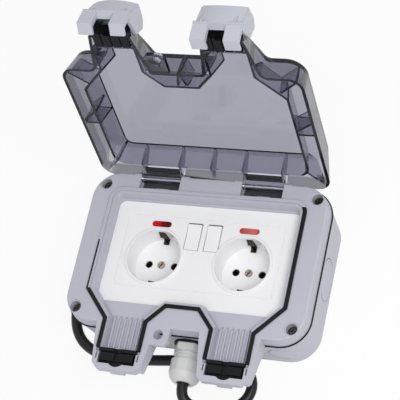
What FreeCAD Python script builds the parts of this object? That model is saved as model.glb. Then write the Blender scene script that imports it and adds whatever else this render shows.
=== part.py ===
import FreeCAD, Part
import math
import os

# Double weatherproof outlet with a hinged see-through lid, two snap latches,
# two cable snouts, a side gland and its supply cord. All sizes in millimetres.
# Frame: the back of the wall box lies on z = 0, +Z points out of the face,
# +Y towards the hinge, -Y towards the cable side, origin at the back's centre.
V = FreeCAD.Vector

# Wall box
box_length = 174.0
box_width = 112.8
box_height = 35.5
box_draft = 1.6
box_corner = 20.0
box_wall = 3.0
box_floor = 3.0
knockout_side_d = 30.0
knockout_end_d = 20.0
knockout_step = 0.8
wall_hole_x = 100.0
wall_hole_y = 60.0
wall_hole_d = 5.0

# Front frame
frame_height = 10.5
face_inset = 1.1
frame_corner = 18.0
frame_skin = 2.6
frame_edge_round = 1.2
frame_screw_x = box_length / 2 - 9.4
frame_screw_y = box_width / 2 - 9.9
frame_screw_d = 3.5
screw_bore_d = 7.8
screw_bore_depth = 7.0
post_d = 9.0

# Lip that the lid gasket sits on, given by its centre line
lip_side_x = box_length / 2 - 16.0
lip_hinge_y = 43.1
lip_shoulder_y = -33.0
lip_corner = 8.0
channel_outer_x = 53.2
channel_inner_x = 23.5
channel_root_y = -52.7
channel_end_y = -75.0
lip_middle_x = 11.9
lip_middle_y = -39.9
gasket_width = 2.6
gasket_height = 3.0
gasket_proud = 1.1
lip_land = 2.0
channel_land = 0.6
window_slope = 1.0

# Window and plate
window_x = lip_side_x - 4.2
window_y_low = -38.0
window_y_high = 37.5
window_corner = 5.0
plate_length = 2 * lip_side_x + 4.0
plate_width = 86.0
plate_drop = 8.0
plate_skin = 3.0
plate_rim = 4.5
plate_corner = 6.0
groove_x = plate_length / 2 - 15.3
groove_y_low = -25.4
groove_y_high = 28.0
groove_width = 0.7
groove_depth = 0.5
carrier_thick = 2.5
carrier_margin = 3.0
plate_screw_x = plate_length / 2 - 12.7
plate_screw_d = 3.5

# Cable snouts of the frame
snout_root_x = (15.5, 59.0)
snout_tip_x = (20.2, 55.4)
snout_end_y = -88.6
snout_chamfer = 4.5
snout_bottom_root = 13.5
snout_bottom_tip = 9.5
channel_depth = 6.5
ridge_count = 6
ridge_y_start = -48.0
ridge_y_end = -73.0
ridge_width = 1.1
ridge_height = 2.2
ridge_side_gap = 0.3

# Padlock tab
tab_x_end = -5.0
tab_y_end = -67.8
tab_thick = 4.0
tab_hole = (-12.7, -60.5)
tab_hole_d = 6.8

# Rubber seals in the snouts
seal_width = 26.6
seal_length = 10.4
seal_y_start = -73.6
seal_proud = 1.1
seal_lip = 2.2
slit_gap = 1.0
slit_width = 1.1
slit_length = 4.6
slit_depth = 3.0
slit_y = -76.6

# Hinge
hinge_y = 53.5
hinge_drop = 3.0
hinge_recess_x = (22.6, 52.5)
hinge_recess_y = 44.9
hinge_pin_d = 3.0
hinge_pin_play = 0.05
ear_wall = 1.6
ear_reach = hinge_y + hinge_pin_d / 2 + ear_wall
ear_x = (17.0, 58.0)
knuckle_r = 2.9
knuckle_gap = 0.35
lid_open_angle = 104.06

# Lid, drawn closed
lid_gap = 1.4
lid_side_x = box_length / 2 - 2.7
lid_front_y = -52.7
lid_back_y = 57.0
lid_corner = 10.5
lid_top_side_x = box_length / 2 - 5.5
lid_top_front_y = -51.9
lid_top_back_y = 45.5
lid_top_corner = 13.0
lid_depth = 15.3
lid_panel = 2.7
lid_wall = 2.2
lid_inner_wall = 1.8
lid_inner_draft = 4.2
lid_snout_rim = (17.6, 58.6, 23.6, 52.6, -86.0)
lid_snout_top = (20.0, 57.0, 28.4, 47.8, -71.5)
lid_rib = 1.6
lid_hinge_ribs = (-51.7, -24.0, -0.4, 22.8, 51.0)
side_rib_y = 1.9
side_rib_run = 13.0
front_rib_x = 0.6
front_rib_spread = 3.4
lug_hole = (-11.9, -62.3)

# Latches
latch_x = 38.1
latch_pivot_y = -83.5
latch_pivot_z = 12.0
latch_width = 29.7
latch_leg_width = 10.0
latch_span = 32.0
latch_leg_low = -7.8
latch_dome_z = 22.8
latch_cheek = 2.4
latch_pin_d = 3.0
latch_swing_left = 20.0
latch_swing_right = 0.0

# Sockets
socket_x = 32.3
socket_y = -2.3
socket_ring_d = 42.7
socket_recess_d = 39.0
socket_recess_depth = 17.5
socket_proud = 1.2
socket_wall = 1.5
socket_floor = 2.5
pin_pitch = 19.0
pin_hole_d = 5.4
sleeve_inner_d = 4.9
sleeve_outer_d = 6.4
sleeve_length = 9.0
sleeve_inset = 1.0
earth_clip_width = 4.0
earth_clip_thick = 0.8

# Neon windows and switches
neon_x = 32.2
neon_y = 22.2
neon_length = 14.0
neon_width = 3.9
rocker_x = 7.25
rocker_width = 10.7
rocker_y = 14.55
rocker_length = 19.4
rocker_gap = 0.4
rocker_axis_drop = 4.4
rocker_tilt = 4.0

# Gland and cord
gland_x = 2.5
gland_z = box_height - 14.5
gland_thread_d = 16.0
gland_bore_play = 0.1
gland_pad_y = -56.8
gland_hex = 20.0
gland_hex_length = 5.0
gland_neck_d = 19.0
gland_neck_length = 6.0
gland_nut_d = 22.4
gland_nut_length = 15.0
gland_nut_mouth_d = 9.6
gland_washer_thick = 1.8
gland_washer_d = 23.5
cord_d = 7.5
core_d = 2.3
core_pitch = 2.5

# Clearances between pieces
fit_gap = 0.2
seat_gap = 0.1

# Levels worked out from the sizes above
face_z = box_height + frame_height
plate_z = face_z - plate_drop
channel_z = face_z - channel_depth
hinge_z = face_z - hinge_drop
rim_z = face_z + lid_gap
panel_z = rim_z + lid_depth
lid_top_z = panel_z + lid_panel

# Sizes that sit beside the ones above
knockout_x = box_length / 2 - 21.0
thread_play = 0.02
frame_screw_length = 16.0
frame_screw_reach = frame_screw_length + screw_bore_depth - frame_height
frame_head_d = 6.6
plate_screw_length = 12.0
plate_head_d = 6.0
plate_head_sink = 0.8
snout_box_gap = 0.8
seam_seal = 0.6
plate_lap = 3.5
latch_bite = 3.0
latch_catch_z = face_z - 5.0
latch_cheek_inner = 13.3
latch_bow_r = 33.2
upper_seal_width = 24.6
upper_seal_z = rim_z + 0.3
upper_seal_height = 9.0
inner_rim_z = rim_z
socket_body_d = socket_recess_d + 2 * socket_wall
centre_screw_d = 3.0
switch_wall = 1.2
switch_pin_d = 2.0
terminal_y = -32.0
terminal_depth = 10.0

# Cord route: out of the gland, a tight turn down to the floor, back under the gland,
# round the left of the box and behind it to the bare end
cord_z = cord_d / 2 + 0.1
gland_reach = gland_washer_thick + gland_hex_length + gland_neck_length + seat_gap + gland_nut_length
cord_route = [
    (gland_x, gland_pad_y - gland_reach, gland_z),
    (gland_x, -90.4, gland_z),
    (5.6, -96.0, 19.0),
    (12.4, -98.8, 14.6),
    (21.4, -98.6, 9.6),
    (31.2, -95.4, 5.4),
    (40.4, -89.2, cord_z),
    (44.6, -82.4, cord_z),
    (45.2, -74.8, cord_z),
    (42.0, -67.8, cord_z),
    (35.8, -62.8, cord_z),
    (28.0, -61.0, cord_z),
    (14.0, -61.6, cord_z),
    (-8.0, -63.4, cord_z),
    (-34.0, -66.5, cord_z),
    (-67.0, -68.5, cord_z),
    (-92.0, -55.5, cord_z),
    (-98.6, -23.0, cord_z),
    (-97.6, 14.0, cord_z),
    (-98.6, 48.0, cord_z),
    (-82.0, 71.0, cord_z),
    (-50.0, 72.5, cord_z),
    (-8.0, 69.5, cord_z),
    (33.0, 68.5, cord_z),
]


# Outlines and solids that many pieces use
def rounded_wire(points, radius, z):
    """Closed wire through the corners at height z; radius is one number or one per corner."""
    count = len(points)
    radii = [radius] * count if isinstance(radius, (int, float)) else list(radius)
    corners = [V(x, y, z) for x, y in points]
    arcs = []
    for i in range(count):
        back = (corners[i - 1] - corners[i]).normalize()
        ahead = (corners[(i + 1) % count] - corners[i]).normalize()
        half_turn = (math.pi - back.getAngle(ahead)) / 2
        if radii[i] < 0.01:
            arcs.append((corners[i], None, corners[i]))
            continue
        reach = radii[i] * math.tan(half_turn)
        inward = (back + ahead).normalize()
        middle = corners[i] + inward * (radii[i] / math.cos(half_turn) - radii[i])
        arcs.append((corners[i] + back * reach, middle, corners[i] + ahead * reach))
    edges = []
    for i in range(count):
        start, middle, end = arcs[i]
        if middle is not None:
            edges.append(Part.Arc(start, middle, end).toShape())
        following = arcs[(i + 1) % count][0]
        if (following - end).Length > 1e-6:
            edges.append(Part.LineSegment(end, following).toShape())
    return Part.Wire(edges)


def inset(points, distance):
    """Corners of a counterclockwise outline moved inwards, by one distance or one per side."""
    count = len(points)
    distances = [distance] * count if isinstance(distance, (int, float)) else distance
    lines = []
    for i in range(count):
        x0, y0 = points[i]
        x1, y1 = points[(i + 1) % count]
        length = math.hypot(x1 - x0, y1 - y0)
        normal_x, normal_y = (y0 - y1) / length, (x1 - x0) / length
        lines.append((normal_x, normal_y, normal_x * x0 + normal_y * y0 + distances[i]))
    moved = []
    for i in range(count):
        a0, b0, c0 = lines[i - 1]
        a1, b1, c1 = lines[i]
        cross = a0 * b1 - a1 * b0
        moved.append(((c0 * b1 - c1 * b0) / cross, (a0 * c1 - a1 * c0) / cross))
    return moved


def rectangle(x0, y0, x1, y1):
    return [(x0, y0), (x1, y0), (x1, y1), (x0, y1)]


def slab(points, radius, z0, z1):
    face = Part.Face(rounded_wire(points, radius, z0))
    return face.extrude(V(0, 0, z1 - z0))


def tapered(low, low_radius, z0, high, high_radius, z1):
    wires = [rounded_wire(low, low_radius, z0), rounded_wire(high, high_radius, z1)]
    return Part.makeLoft(wires, True, True)


def block(x0, y0, z0, x1, y1, z1):
    return Part.makeBox(x1 - x0, y1 - y0, z1 - z0, V(x0, y0, z0))


def rod(diameter, start, end):
    """Round bar between two points."""
    first, last = V(*start), V(*end)
    return Part.makeCylinder(diameter / 2, (last - first).Length, first, last - first)


def prism_x(profile, x0, x1):
    """Solid whose section, given as (y, z) points, runs along X."""
    corners = [V(x0, y, z) for y, z in profile]
    face = Part.Face(Part.makePolygon(corners + corners[:1]))
    return face.extrude(V(x1 - x0, 0, 0))


def tube(outer, inner, start, end):
    return rod(outer, start, end).cut(rod(inner, start, end))


def joined(shapes):
    """Shapes fused into one, with the seams between flat faces removed."""
    return shapes[0].fuse(shapes[1:]).removeSplitter()


def both_sides(shape):
    """A shape and its mirror image across the centre line."""
    return [shape, shape.mirror(V(0, 0, 0), V(1, 0, 0))]


def four_corners(x, y):
    return [(sx * x, sy * y) for sx in (-1, 1) for sy in (-1, 1)]


def turned_about_hinge(shape, degrees):
    return shape.rotated(V(0, hinge_y, hinge_z), V(1, 0, 0), degrees)


def opened(shape):
    """A lid piece drawn closed, swung to the open rest position."""
    return turned_about_hinge(shape, -lid_open_angle)


parts = {}


# Wall box with its screw posts, entries and knockouts
def box_half(z):
    """Half length and half width of the drafted box at a height."""
    shrink = box_draft * (1 - z / box_height)
    return box_length / 2 - shrink, box_width / 2 - shrink


def gland_seat_y():
    """Flat inside the wall that the gland's locknut bears on."""
    return box_wall + 0.6 - box_half(0)[1]


def box_outline(z, wall=0.0):
    half_x, half_y = box_half(z)
    return rectangle(wall - half_x, wall - half_y, half_x - wall, half_y - wall)


def knockout_ring(diameter, start, end):
    return tube(diameter, diameter - 2 * knockout_step, start, end)


def back_box():
    top = box_height
    outer = tapered(box_outline(0), box_corner, 0, box_outline(top), box_corner, top)
    inner = tapered(box_outline(box_floor, box_wall), box_corner - box_wall, box_floor,
                    box_outline(top, box_wall), box_corner - box_wall, top)
    shell = outer.cut(inner)
    posts = [rod(post_d, (x, y, 0), (x, y, top)) for x, y in four_corners(frame_screw_x, frame_screw_y)]
    carrier_z = plate_z - plate_rim - carrier_thick
    posts += both_sides(rod(post_d, (plate_screw_x, 0, 0), (plate_screw_x, 0, carrier_z - seat_gap)))
    pad = rod(gland_washer_d + 3, (gland_x, gland_pad_y, gland_z), (gland_x, gland_seat_y(), gland_z))
    shell = joined([shell, pad] + [post.common(outer.fuse(pad)) for post in posts])
    deep = top - frame_screw_reach - 1
    drills = [rod(frame_screw_d + 2 * thread_play, (x, y, deep), (x, y, top))
              for x, y in four_corners(frame_screw_x, frame_screw_y)]
    plate_deep = plate_z - plate_rim - plate_screw_length - 1
    drills += both_sides(rod(plate_screw_d + 2 * thread_play, (plate_screw_x, 0, plate_deep), (plate_screw_x, 0, top)))
    drills += [rod(wall_hole_d, (x, y, 0), (x, y, box_floor))
               for x, y in four_corners(wall_hole_x / 2, wall_hole_y / 2)]
    drills.append(rod(gland_thread_d + 2 * fit_gap, (gland_x, gland_pad_y - 1, gland_z), (gland_x, -45, gland_z)))
    middle = box_height / 2
    side_x = box_half(middle)[0]
    for side in (-1, 1):
        drills.append(knockout_ring(knockout_side_d, (side * (side_x - knockout_step), 0, middle),
                                    (side * (side_x + 3), 0, middle)))
    drills.append(knockout_ring(knockout_end_d, (knockout_x, -box_half(middle)[1] - 3, middle),
                                (knockout_x, knockout_step - box_half(middle)[1], middle)))
    return shell.cut(drills)


def box_seal():
    """Thin rubber strip in the seam between the wall box and the frame."""
    low = box_outline(box_height, box_wall * 0.35)
    outer = slab(low, box_corner - 1, box_height, box_height + seam_seal)
    inner = slab(inset(low, box_wall * 0.5), box_corner - 2.5, box_height, box_height + seam_seal)
    return outer.cut(inner)


# Front frame
def lip_outline(offset=0.0):
    """Gasket centre line round the window and down both channels, counterclockwise."""
    half = [(-lip_middle_x, lip_middle_y), (-channel_inner_x, channel_root_y), (-channel_inner_x, channel_end_y),
            (-channel_outer_x, channel_end_y), (-channel_outer_x, channel_root_y), (-lip_side_x, lip_shoulder_y),
            (-lip_side_x, lip_hinge_y)]
    other = [(-x, y) for x, y in reversed(half)]
    points = list(reversed(half + other))
    points = points if is_counterclockwise(points) else list(reversed(points))
    return inset(points, offset) if offset else points


def is_counterclockwise(points):
    area = sum(x0 * y1 - x1 * y0 for (x0, y0), (x1, y1) in zip(points, points[1:] + points[:1]))
    return area > 0


def lip_radii(points, corner, small):
    """Large radius at the two hinge corners of the lip, a small one elsewhere."""
    return [corner if y > 0 else small for x, y in points]


def snout_outline(grow=0.0):
    root_in, root_out = snout_root_x
    tip_in, tip_out = snout_tip_x
    return [(root_in - grow, -50.0), (root_in - grow, -56.0), (tip_in - grow, snout_end_y + 3.2),
            (tip_in + 3.2 - grow, snout_end_y - grow), (tip_out - snout_chamfer + grow, snout_end_y - grow),
            (tip_out + grow, snout_end_y + snout_chamfer), (root_out + grow, -56.0), (root_out + grow, -50.0)]


def snout():
    """One cable snout: outline pulled down, with its underside rising towards the tip."""
    deep = face_z - snout_bottom_root
    body = slab(snout_outline(), [0, 0, 1.5, 1.5, 1.5, 1.5, 0, 0], deep, face_z)
    rise = prism_x([(-54.0, deep - 1), (-54.0, deep), (snout_end_y - 1, face_z - snout_bottom_tip),
                    (snout_end_y - 1, deep - 1)], 0, 80)
    box_side = -box_half(box_height)[1] - snout_box_gap
    under_frame = block(0, box_side, deep - 1, 80, -45, box_height + seam_seal)
    return body.cut([rise, under_frame])


def window_outline(grow=0.0):
    return rectangle(-window_x - grow, window_y_low - grow, window_x + grow, window_y_high + grow)


def lip_opening(more):
    """Outline inside the gasket: a wide land round the window, a narrow one in the channels."""
    points = lip_outline()
    lands = []
    for (x0, y0), (x1, y1) in zip(points, points[1:] + points[:1]):
        land = channel_land if max(y0, y1) <= channel_root_y else lip_land
        lands.append(gasket_width / 2 + land + more)
    return inset(points, lands)


def lip_cut():
    """The opening inside the gasket: a sloping wall down to the plate and the channels."""
    top = lip_opening(0)
    foot = lip_opening(window_slope)
    corner = lip_corner - gasket_width / 2 - lip_land
    return tapered(foot, lip_radii(foot, corner - window_slope, 1.0), channel_z,
                   top, lip_radii(top, corner, 1.0), face_z)


def ridges():
    """Longitudinal grip ridges on the floor of one channel."""
    made = []
    margin = gasket_width / 2 + channel_land + window_slope + ridge_side_gap
    pitch = (channel_outer_x - channel_inner_x - 2 * margin) / ridge_count
    for i in range(ridge_count):
        x = channel_inner_x + margin + pitch * (i + 0.5)
        profile = [(ridge_y_start, channel_z), (ridge_y_end, channel_z), (ridge_y_end, channel_z + ridge_height),
                   (ridge_y_start - 2.5, channel_z + ridge_height)]
        made.append(prism_x(profile, x - ridge_width / 2, x + ridge_width / 2))
    return made


def hinge_recess():
    """Pocket in the frame's hinge edge that a lid knuckle turns in."""
    x0, x1 = hinge_recess_x
    round_pocket = rod(2 * (knuckle_r + knuckle_gap), (x0, hinge_y, hinge_z), (x1, hinge_y, hinge_z))
    low = hinge_z - knuckle_r - knuckle_gap
    shelf = block(x0, hinge_recess_y, low, x1, ear_reach + 5, face_z + 1)
    below = block(x0, hinge_y, low, x1, ear_reach + 5, face_z + 1)
    behind = block(x0, hinge_y + 1.2, low - 1.6, x1, ear_reach + 5, face_z + 1)
    return joined([shelf, round_pocket, below, behind])


def ear_block():
    """Thickened hinge edge that carries one pin, with a rounded outer corner."""
    x0, x1 = ear_x
    outer = block(x0, hinge_y - 6, box_height + 3, x1, ear_reach, face_z)
    corner = [edge for edge in outer.Edges if edge.BoundBox.YMin > ear_reach - 0.01
              and edge.BoundBox.ZMin > face_z - 0.01]
    return outer.makeFillet(2.0, corner)


def gasket_ring(low_z, high_z):
    """Band along the lip, between two heights, as wide as the gasket."""
    half = gasket_width / 2
    outer = lip_outline(-half)
    inner = lip_outline(half)
    ring = slab(outer, lip_radii(outer, lip_corner + half, 1.5), low_z, high_z)
    return ring.cut(slab(inner, lip_radii(inner, lip_corner - half, 0.8), low_z - 1, high_z + 1))


def seal_bed():
    """Cut across one snout for the rubber cable seal."""
    middle = (channel_inner_x + channel_outer_x) / 2
    half = seal_width / 2 + fit_gap
    y0 = seal_y_start - seal_length - fit_gap
    bed = block(middle - half, y0, channel_z, middle + half, seal_y_start + fit_gap, face_z + 1)
    return bed.fuse(seal_bulge(fit_gap))


def seal_bulge(grow):
    """Rounded lip that swells from the outer side of a rubber seal."""
    middle = (channel_inner_x + channel_outer_x) / 2
    low, high = face_z - seal_lip - 2.4 - grow, face_z - seal_lip + (grow and 9)
    centre_y = seal_y_start - seal_length + 4.6
    bulge = rod(seal_lip * 6 + 2 * grow, (middle, centre_y, low), (middle, centre_y, high))
    return bulge.common(block(middle - 20, centre_y - 12, low - 1, middle + 20, centre_y, high + 1))


def latch_slots():
    """Two notches under the tip of one snout for the toes of the latch."""
    made = []
    for side in (-1, 1):
        x = latch_x + side * (latch_span - latch_leg_width) / 2
        half = latch_leg_width / 2 + 1.0
        made.append(block(x - half, snout_end_y - 1, box_height - 2, x + half, snout_end_y + latch_bite, latch_catch_z))
    return made


def seal_slits():
    """Narrow blind slots beside the rubber seal of one snout."""
    middle = (channel_inner_x + channel_outer_x) / 2
    made = []
    for side in (-1, 1):
        near = middle + side * (seal_width / 2 + fit_gap + slit_gap)
        x0, x1 = sorted((near, near + side * slit_width))
        made.append(block(x0, slit_y - slit_length, face_z - slit_depth, x1, slit_y, face_z + 1))
    return made


def padlock_tab():
    outline = [(-19.0, -50.0), (-19.0, tab_y_end), (tab_x_end - 2.5, tab_y_end), (tab_x_end, tab_y_end + 3.5),
               (tab_x_end, -50.0)]
    return slab(outline, [0, 0, 1.5, 1.5, 0], face_z - tab_thick, face_z)


def front_frame():
    skirt_x, skirt_y = box_half(box_height)
    low_z = box_height + seam_seal
    low = rectangle(-skirt_x, -skirt_y, skirt_x, skirt_y)
    high = inset(low, face_inset)
    body = tapered(low, box_corner, low_z, high, box_corner - face_inset, face_z)
    rim = [edge for edge in body.Edges if edge.BoundBox.ZMin > face_z - 0.01]
    body = body.makeFillet(frame_edge_round, rim)
    body = joined([body, padlock_tab()] + both_sides(snout()) + both_sides(ear_block()))
    hollow = tapered(inset(low, frame_skin), box_corner - frame_skin, low_z - 1,
                     inset(high, frame_skin), box_corner - face_inset - frame_skin, face_z - frame_skin)
    collar = slab(window_outline(plate_lap), window_corner + plate_lap, plate_z + seat_gap, face_z)
    lip_backing = slab(lip_outline(-4.0), 1.0, channel_z - 2.0, face_z)
    posts = [rod(post_d, (x, y, low_z), (x, y, face_z)) for x, y in four_corners(frame_screw_x, frame_screw_y)]
    hinge_backing = both_sides(block(ear_x[0], hinge_recess_y - 2.5, box_height + 2, ear_x[1], ear_reach + 3, face_z))
    edge_wall = block(-skirt_x - 3, -skirt_y - 3, low_z - 1, skirt_x + 3, -skirt_y + 3.5, face_z)
    hollow = hollow.cut([collar, lip_backing, edge_wall] + posts + hinge_backing)
    plate_room = slab(rectangle(-plate_length / 2 - 1, -plate_width / 2 - 1, plate_length / 2 + 1,
                                plate_width / 2 + 1), plate_corner, low_z - 1, plate_z + seat_gap)
    body = body.cut([hollow, plate_room])
    window = slab(window_outline(), window_corner, plate_z - 1, face_z + 1).common(lip_cut_full())
    groove = gasket_ring(face_z - gasket_height + gasket_proud, face_z + 1)
    cuts = [window, lip_cut(), groove] + both_sides(seal_bed())
    cuts += both_sides(hinge_recess())
    for slot in latch_slots() + seal_slits():
        cuts += both_sides(slot)
    for x, y in four_corners(frame_screw_x, frame_screw_y):
        cuts.append(rod(frame_screw_d + 0.5, (x, y, low_z - 1), (x, y, face_z + 1)))
        cuts.append(rod(screw_bore_d, (x, y, face_z - screw_bore_depth), (x, y, face_z + 1)))
        cuts.append(rod(screw_bore_d + 1.4, (x, y, face_z - 0.8), (x, y, face_z + 1)))
    cuts.append(rod(tab_hole_d, (*tab_hole, face_z - tab_thick - 1), (*tab_hole, face_z + 1)))
    pin_hole = rod(hinge_pin_d, (ear_x[0] + 1.5, hinge_y, hinge_z), (ear_x[1] + 1, hinge_y, hinge_z))
    cuts += both_sides(pin_hole)
    body = body.cut(cuts)
    grips = []
    for ridge in ridges():
        grips += both_sides(ridge)
    return joined([body] + grips)


def lip_cut_full():
    """Everything inside the lip, from the plate up."""
    inner = lip_opening(window_slope)
    corner = lip_corner - gasket_width / 2 - lip_land - window_slope
    return slab(inner, lip_radii(inner, corner, 1.0), plate_z - 2, face_z + 1)


def gaskets():
    """Black foam cord in the lip: one run round the hinge side, one across the middle."""
    ring = gasket_ring(face_z - gasket_height + gasket_proud, face_z + gasket_proud)
    ends = both_sides(block(channel_inner_x - 3, channel_end_y - 5, 0, channel_outer_x + 3, seal_y_start, face_z + 9))
    runs = ring.cut(ends).Solids
    runs.sort(key=lambda solid: solid.Volume)
    return runs


# Socket plate and what it carries
def plate_blank(grow, low_z, high_z):
    half_x, half_y = plate_length / 2 + grow, plate_width / 2 + grow
    return slab(rectangle(-half_x, -half_y, half_x, half_y), plate_corner + grow, low_z, high_z)


def rocker_hole(side, grow):
    x, half_x, half_y = side * rocker_x, rocker_width / 2 + grow, rocker_length / 2 + grow
    return block(x - half_x, rocker_y - half_y, plate_z - 20, x + half_x, rocker_y + half_y, plate_z + 5)


def neon_blank(side, grow, low_z, high_z):
    x, half_x, half_y = side * neon_x, neon_length / 2 + grow, neon_width / 2 + grow
    outline = rectangle(x - half_x, neon_y - half_y, x + half_x, neon_y + half_y)
    return slab(outline, half_y * 0.98, low_z, high_z)


def socket_hole(side, diameter):
    x = side * socket_x
    return rod(diameter, (x, socket_y, 0), (x, socket_y, plate_z + 5))


def plate_cuts(socket_d, grow):
    cuts = []
    for side in (-1, 1):
        cuts += [rocker_hole(side, grow), socket_hole(side, socket_d), neon_blank(side, grow, 0, plate_z + 5)]
    return cuts


def cover_plate():
    """White clip-on front with a fine square groove round its fittings."""
    shell = plate_blank(0, plate_z - plate_rim, plate_z)
    edge = [e for e in shell.Edges if e.BoundBox.ZMin > plate_z - 0.01]
    shell = shell.makeFillet(1.0, edge)
    shell = shell.cut(plate_blank(-2.0, plate_z - plate_rim - 1, plate_z - plate_skin))
    outer = slab(rectangle(-groove_x, groove_y_low, groove_x, groove_y_high), 1.5, plate_z - groove_depth, plate_z + 1)
    inner_x, low_y, high_y = groove_x - groove_width, groove_y_low + groove_width, groove_y_high - groove_width
    inner = slab(rectangle(-inner_x, low_y, inner_x, high_y), 0.8, plate_z - groove_depth, plate_z + 1)
    return shell.cut([outer.cut(inner)] + plate_cuts(socket_body_d + 2 * fit_gap, fit_gap))


def plate_carrier():
    """Frame behind the cover plate, held to the wall box by two screws."""
    high_z = plate_z - plate_rim
    low_z = high_z - carrier_thick
    body = plate_blank(-carrier_margin, low_z, high_z)
    cuts = [socket_hole(side, socket_body_d + 2 * fit_gap) for side in (-1, 1)]
    half_x = rocker_x + rocker_width / 2 + switch_wall + fit_gap
    half_y = rocker_length / 2 + switch_wall + fit_gap
    cuts.append(block(-half_x, rocker_y - half_y, low_z - 1, half_x, rocker_y + half_y, high_z + 1))
    cuts += both_sides(rod(plate_screw_d + 0.5, (plate_screw_x, 0, low_z - 1), (plate_screw_x, 0, high_z + 1)))
    sink_z = high_z - plate_head_sink
    cuts += both_sides(rod(plate_head_d + 0.4, (plate_screw_x, 0, sink_z), (plate_screw_x, 0, high_z + 1)))
    cuts += [neon_blank(side, fit_gap, low_z - 1, high_z + 1) for side in (-1, 1)]
    return body.cut(cuts)


def socket_levels():
    rim = plate_z + socket_proud
    floor = rim - socket_recess_depth
    return rim, floor, floor - socket_floor


def socket_insert(side):
    """White recessed outlet: flange ring, round well and a boss round its contact sleeves."""
    rim, floor, under = socket_levels()
    x = side * socket_x
    ring = rod(socket_ring_d, (x, socket_y, plate_z), (x, socket_y, rim))
    edge = [e for e in ring.Edges if e.BoundBox.ZMin > rim - 0.01]
    ring = ring.makeFillet(socket_proud * 0.7, edge)
    cup = rod(socket_body_d, (x, socket_y, under), (x, socket_y, plate_z))
    boss = block(x - pin_pitch / 2 - 6, socket_y - 6, under - sleeve_length, x + pin_pitch / 2 + 6, socket_y + 6, under)
    body = joined([ring, cup, boss])
    cuts = [rod(socket_recess_d, (x, socket_y, floor), (x, socket_y, rim + 1))]
    for pin_x in (x - pin_pitch / 2, x + pin_pitch / 2):
        cuts.append(rod(sleeve_outer_d, (pin_x, socket_y, under - sleeve_length - 1),
                        (pin_x, socket_y, floor - sleeve_inset)))
        cuts.append(rod(pin_hole_d, (pin_x, socket_y, under - 1), (pin_x, socket_y, floor + 1)))
    cuts.append(rod(centre_screw_d, (x, socket_y, under - sleeve_length - 1), (x, socket_y, floor + 1)))
    for end in (-1, 1):
        wall_y = socket_y + end * (socket_recess_d / 2)
        cuts.append(block(x - earth_clip_width / 2 - 0.6, wall_y - 1.2, floor - 0.01,
                          x + earth_clip_width / 2 + 0.6, wall_y + 1.2, rim - 4.0))
    return body.cut(cuts)


def contact_sleeves(side):
    rim, floor, under = socket_levels()
    sleeves = []
    for pin_x in (side * socket_x - pin_pitch / 2, side * socket_x + pin_pitch / 2):
        top, low = floor - sleeve_inset, under - sleeve_length
        sleeve = tube(sleeve_outer_d, sleeve_inner_d, (pin_x, socket_y, low), (pin_x, socket_y, top))
        slot = block(pin_x - 0.5, socket_y - 5, low - 1, pin_x + 0.5, socket_y + 5, top - 3)
        sleeves.append(sleeve.cut(slot))
    return Part.makeCompound(sleeves)


def earth_clip(side):
    """Bent metal strap across the bottom of one well, rising at both ends."""
    rim, floor, under = socket_levels()
    x, half = side * socket_x, earth_clip_width / 2
    reach = socket_recess_d / 2
    clips = []
    for end in (-1, 1):
        outer = reach + 0.35
        profile = [(end * (reach - 4.0), floor), (end * outer, floor), (end * outer, rim - 4.5),
                   (end * (outer - earth_clip_thick), rim - 4.5), (end * (reach - 2.2), rim - 9.0),
                   (end * (outer - earth_clip_thick), floor + earth_clip_thick + 2.0),
                   (end * (outer - earth_clip_thick - 0.6), floor + earth_clip_thick),
                   (end * (reach - 4.0), floor + earth_clip_thick)]
        profile = [(socket_y + y, z) for y, z in profile]
        clips.append(prism_x(profile, x - half, x + half))
    return Part.makeCompound(clips)


def centre_screw(side):
    """Slotted screw that holds the well, its head in the middle of the floor."""
    rim, floor, under = socket_levels()
    x = side * socket_x
    shank = rod(centre_screw_d, (x, socket_y, under - sleeve_length), (x, socket_y, floor))
    head = rod(centre_screw_d + 2.4, (x, socket_y, floor), (x, socket_y, floor + 1.2))
    slot = block(x - 3, socket_y - 0.4, floor + 0.5, x + 3, socket_y + 0.4, floor + 2)
    return joined([shank, head]).cut(slot)


def neon_lens(side):
    lens = neon_blank(side, 0, plate_z - plate_rim, plate_z + 0.5)
    edge = [e for e in lens.Edges if e.BoundBox.ZMin > plate_z + 0.49]
    return lens.makeFillet(0.4, edge)


def neon_lamp(side):
    x, low = side * neon_x, plate_z - plate_rim
    bulb = rod(neon_width, (x - 4, neon_y, low - neon_width / 2), (x + 4, neon_y, low - neon_width / 2))
    return bulb


def rocker(side):
    """Switch rocker, tilted to its off side, with a trunnion through its walls."""
    x, half_x, half_y = side * rocker_x, rocker_width / 2 - rocker_gap, rocker_length / 2 - rocker_gap
    top = plate_z + 0.6
    axis_z = plate_z - rocker_axis_drop
    crown = [(rocker_y - half_y, top), (rocker_y - half_y, plate_z - 2.0), (rocker_y - 2.5, axis_z - 2.5),
             (rocker_y + 2.5, axis_z - 2.5), (rocker_y + half_y, plate_z - 2.0), (rocker_y + half_y, top),
             (rocker_y, top - 0.5)]
    key = prism_x(crown, x - half_x, x + half_x)
    key = key.cut(rod(switch_pin_d + 2 * hinge_pin_play, (x - 9, rocker_y, axis_z), (x + 9, rocker_y, axis_z)))
    return key.rotated(V(x, rocker_y, axis_z), V(1, 0, 0), rocker_tilt)


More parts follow.
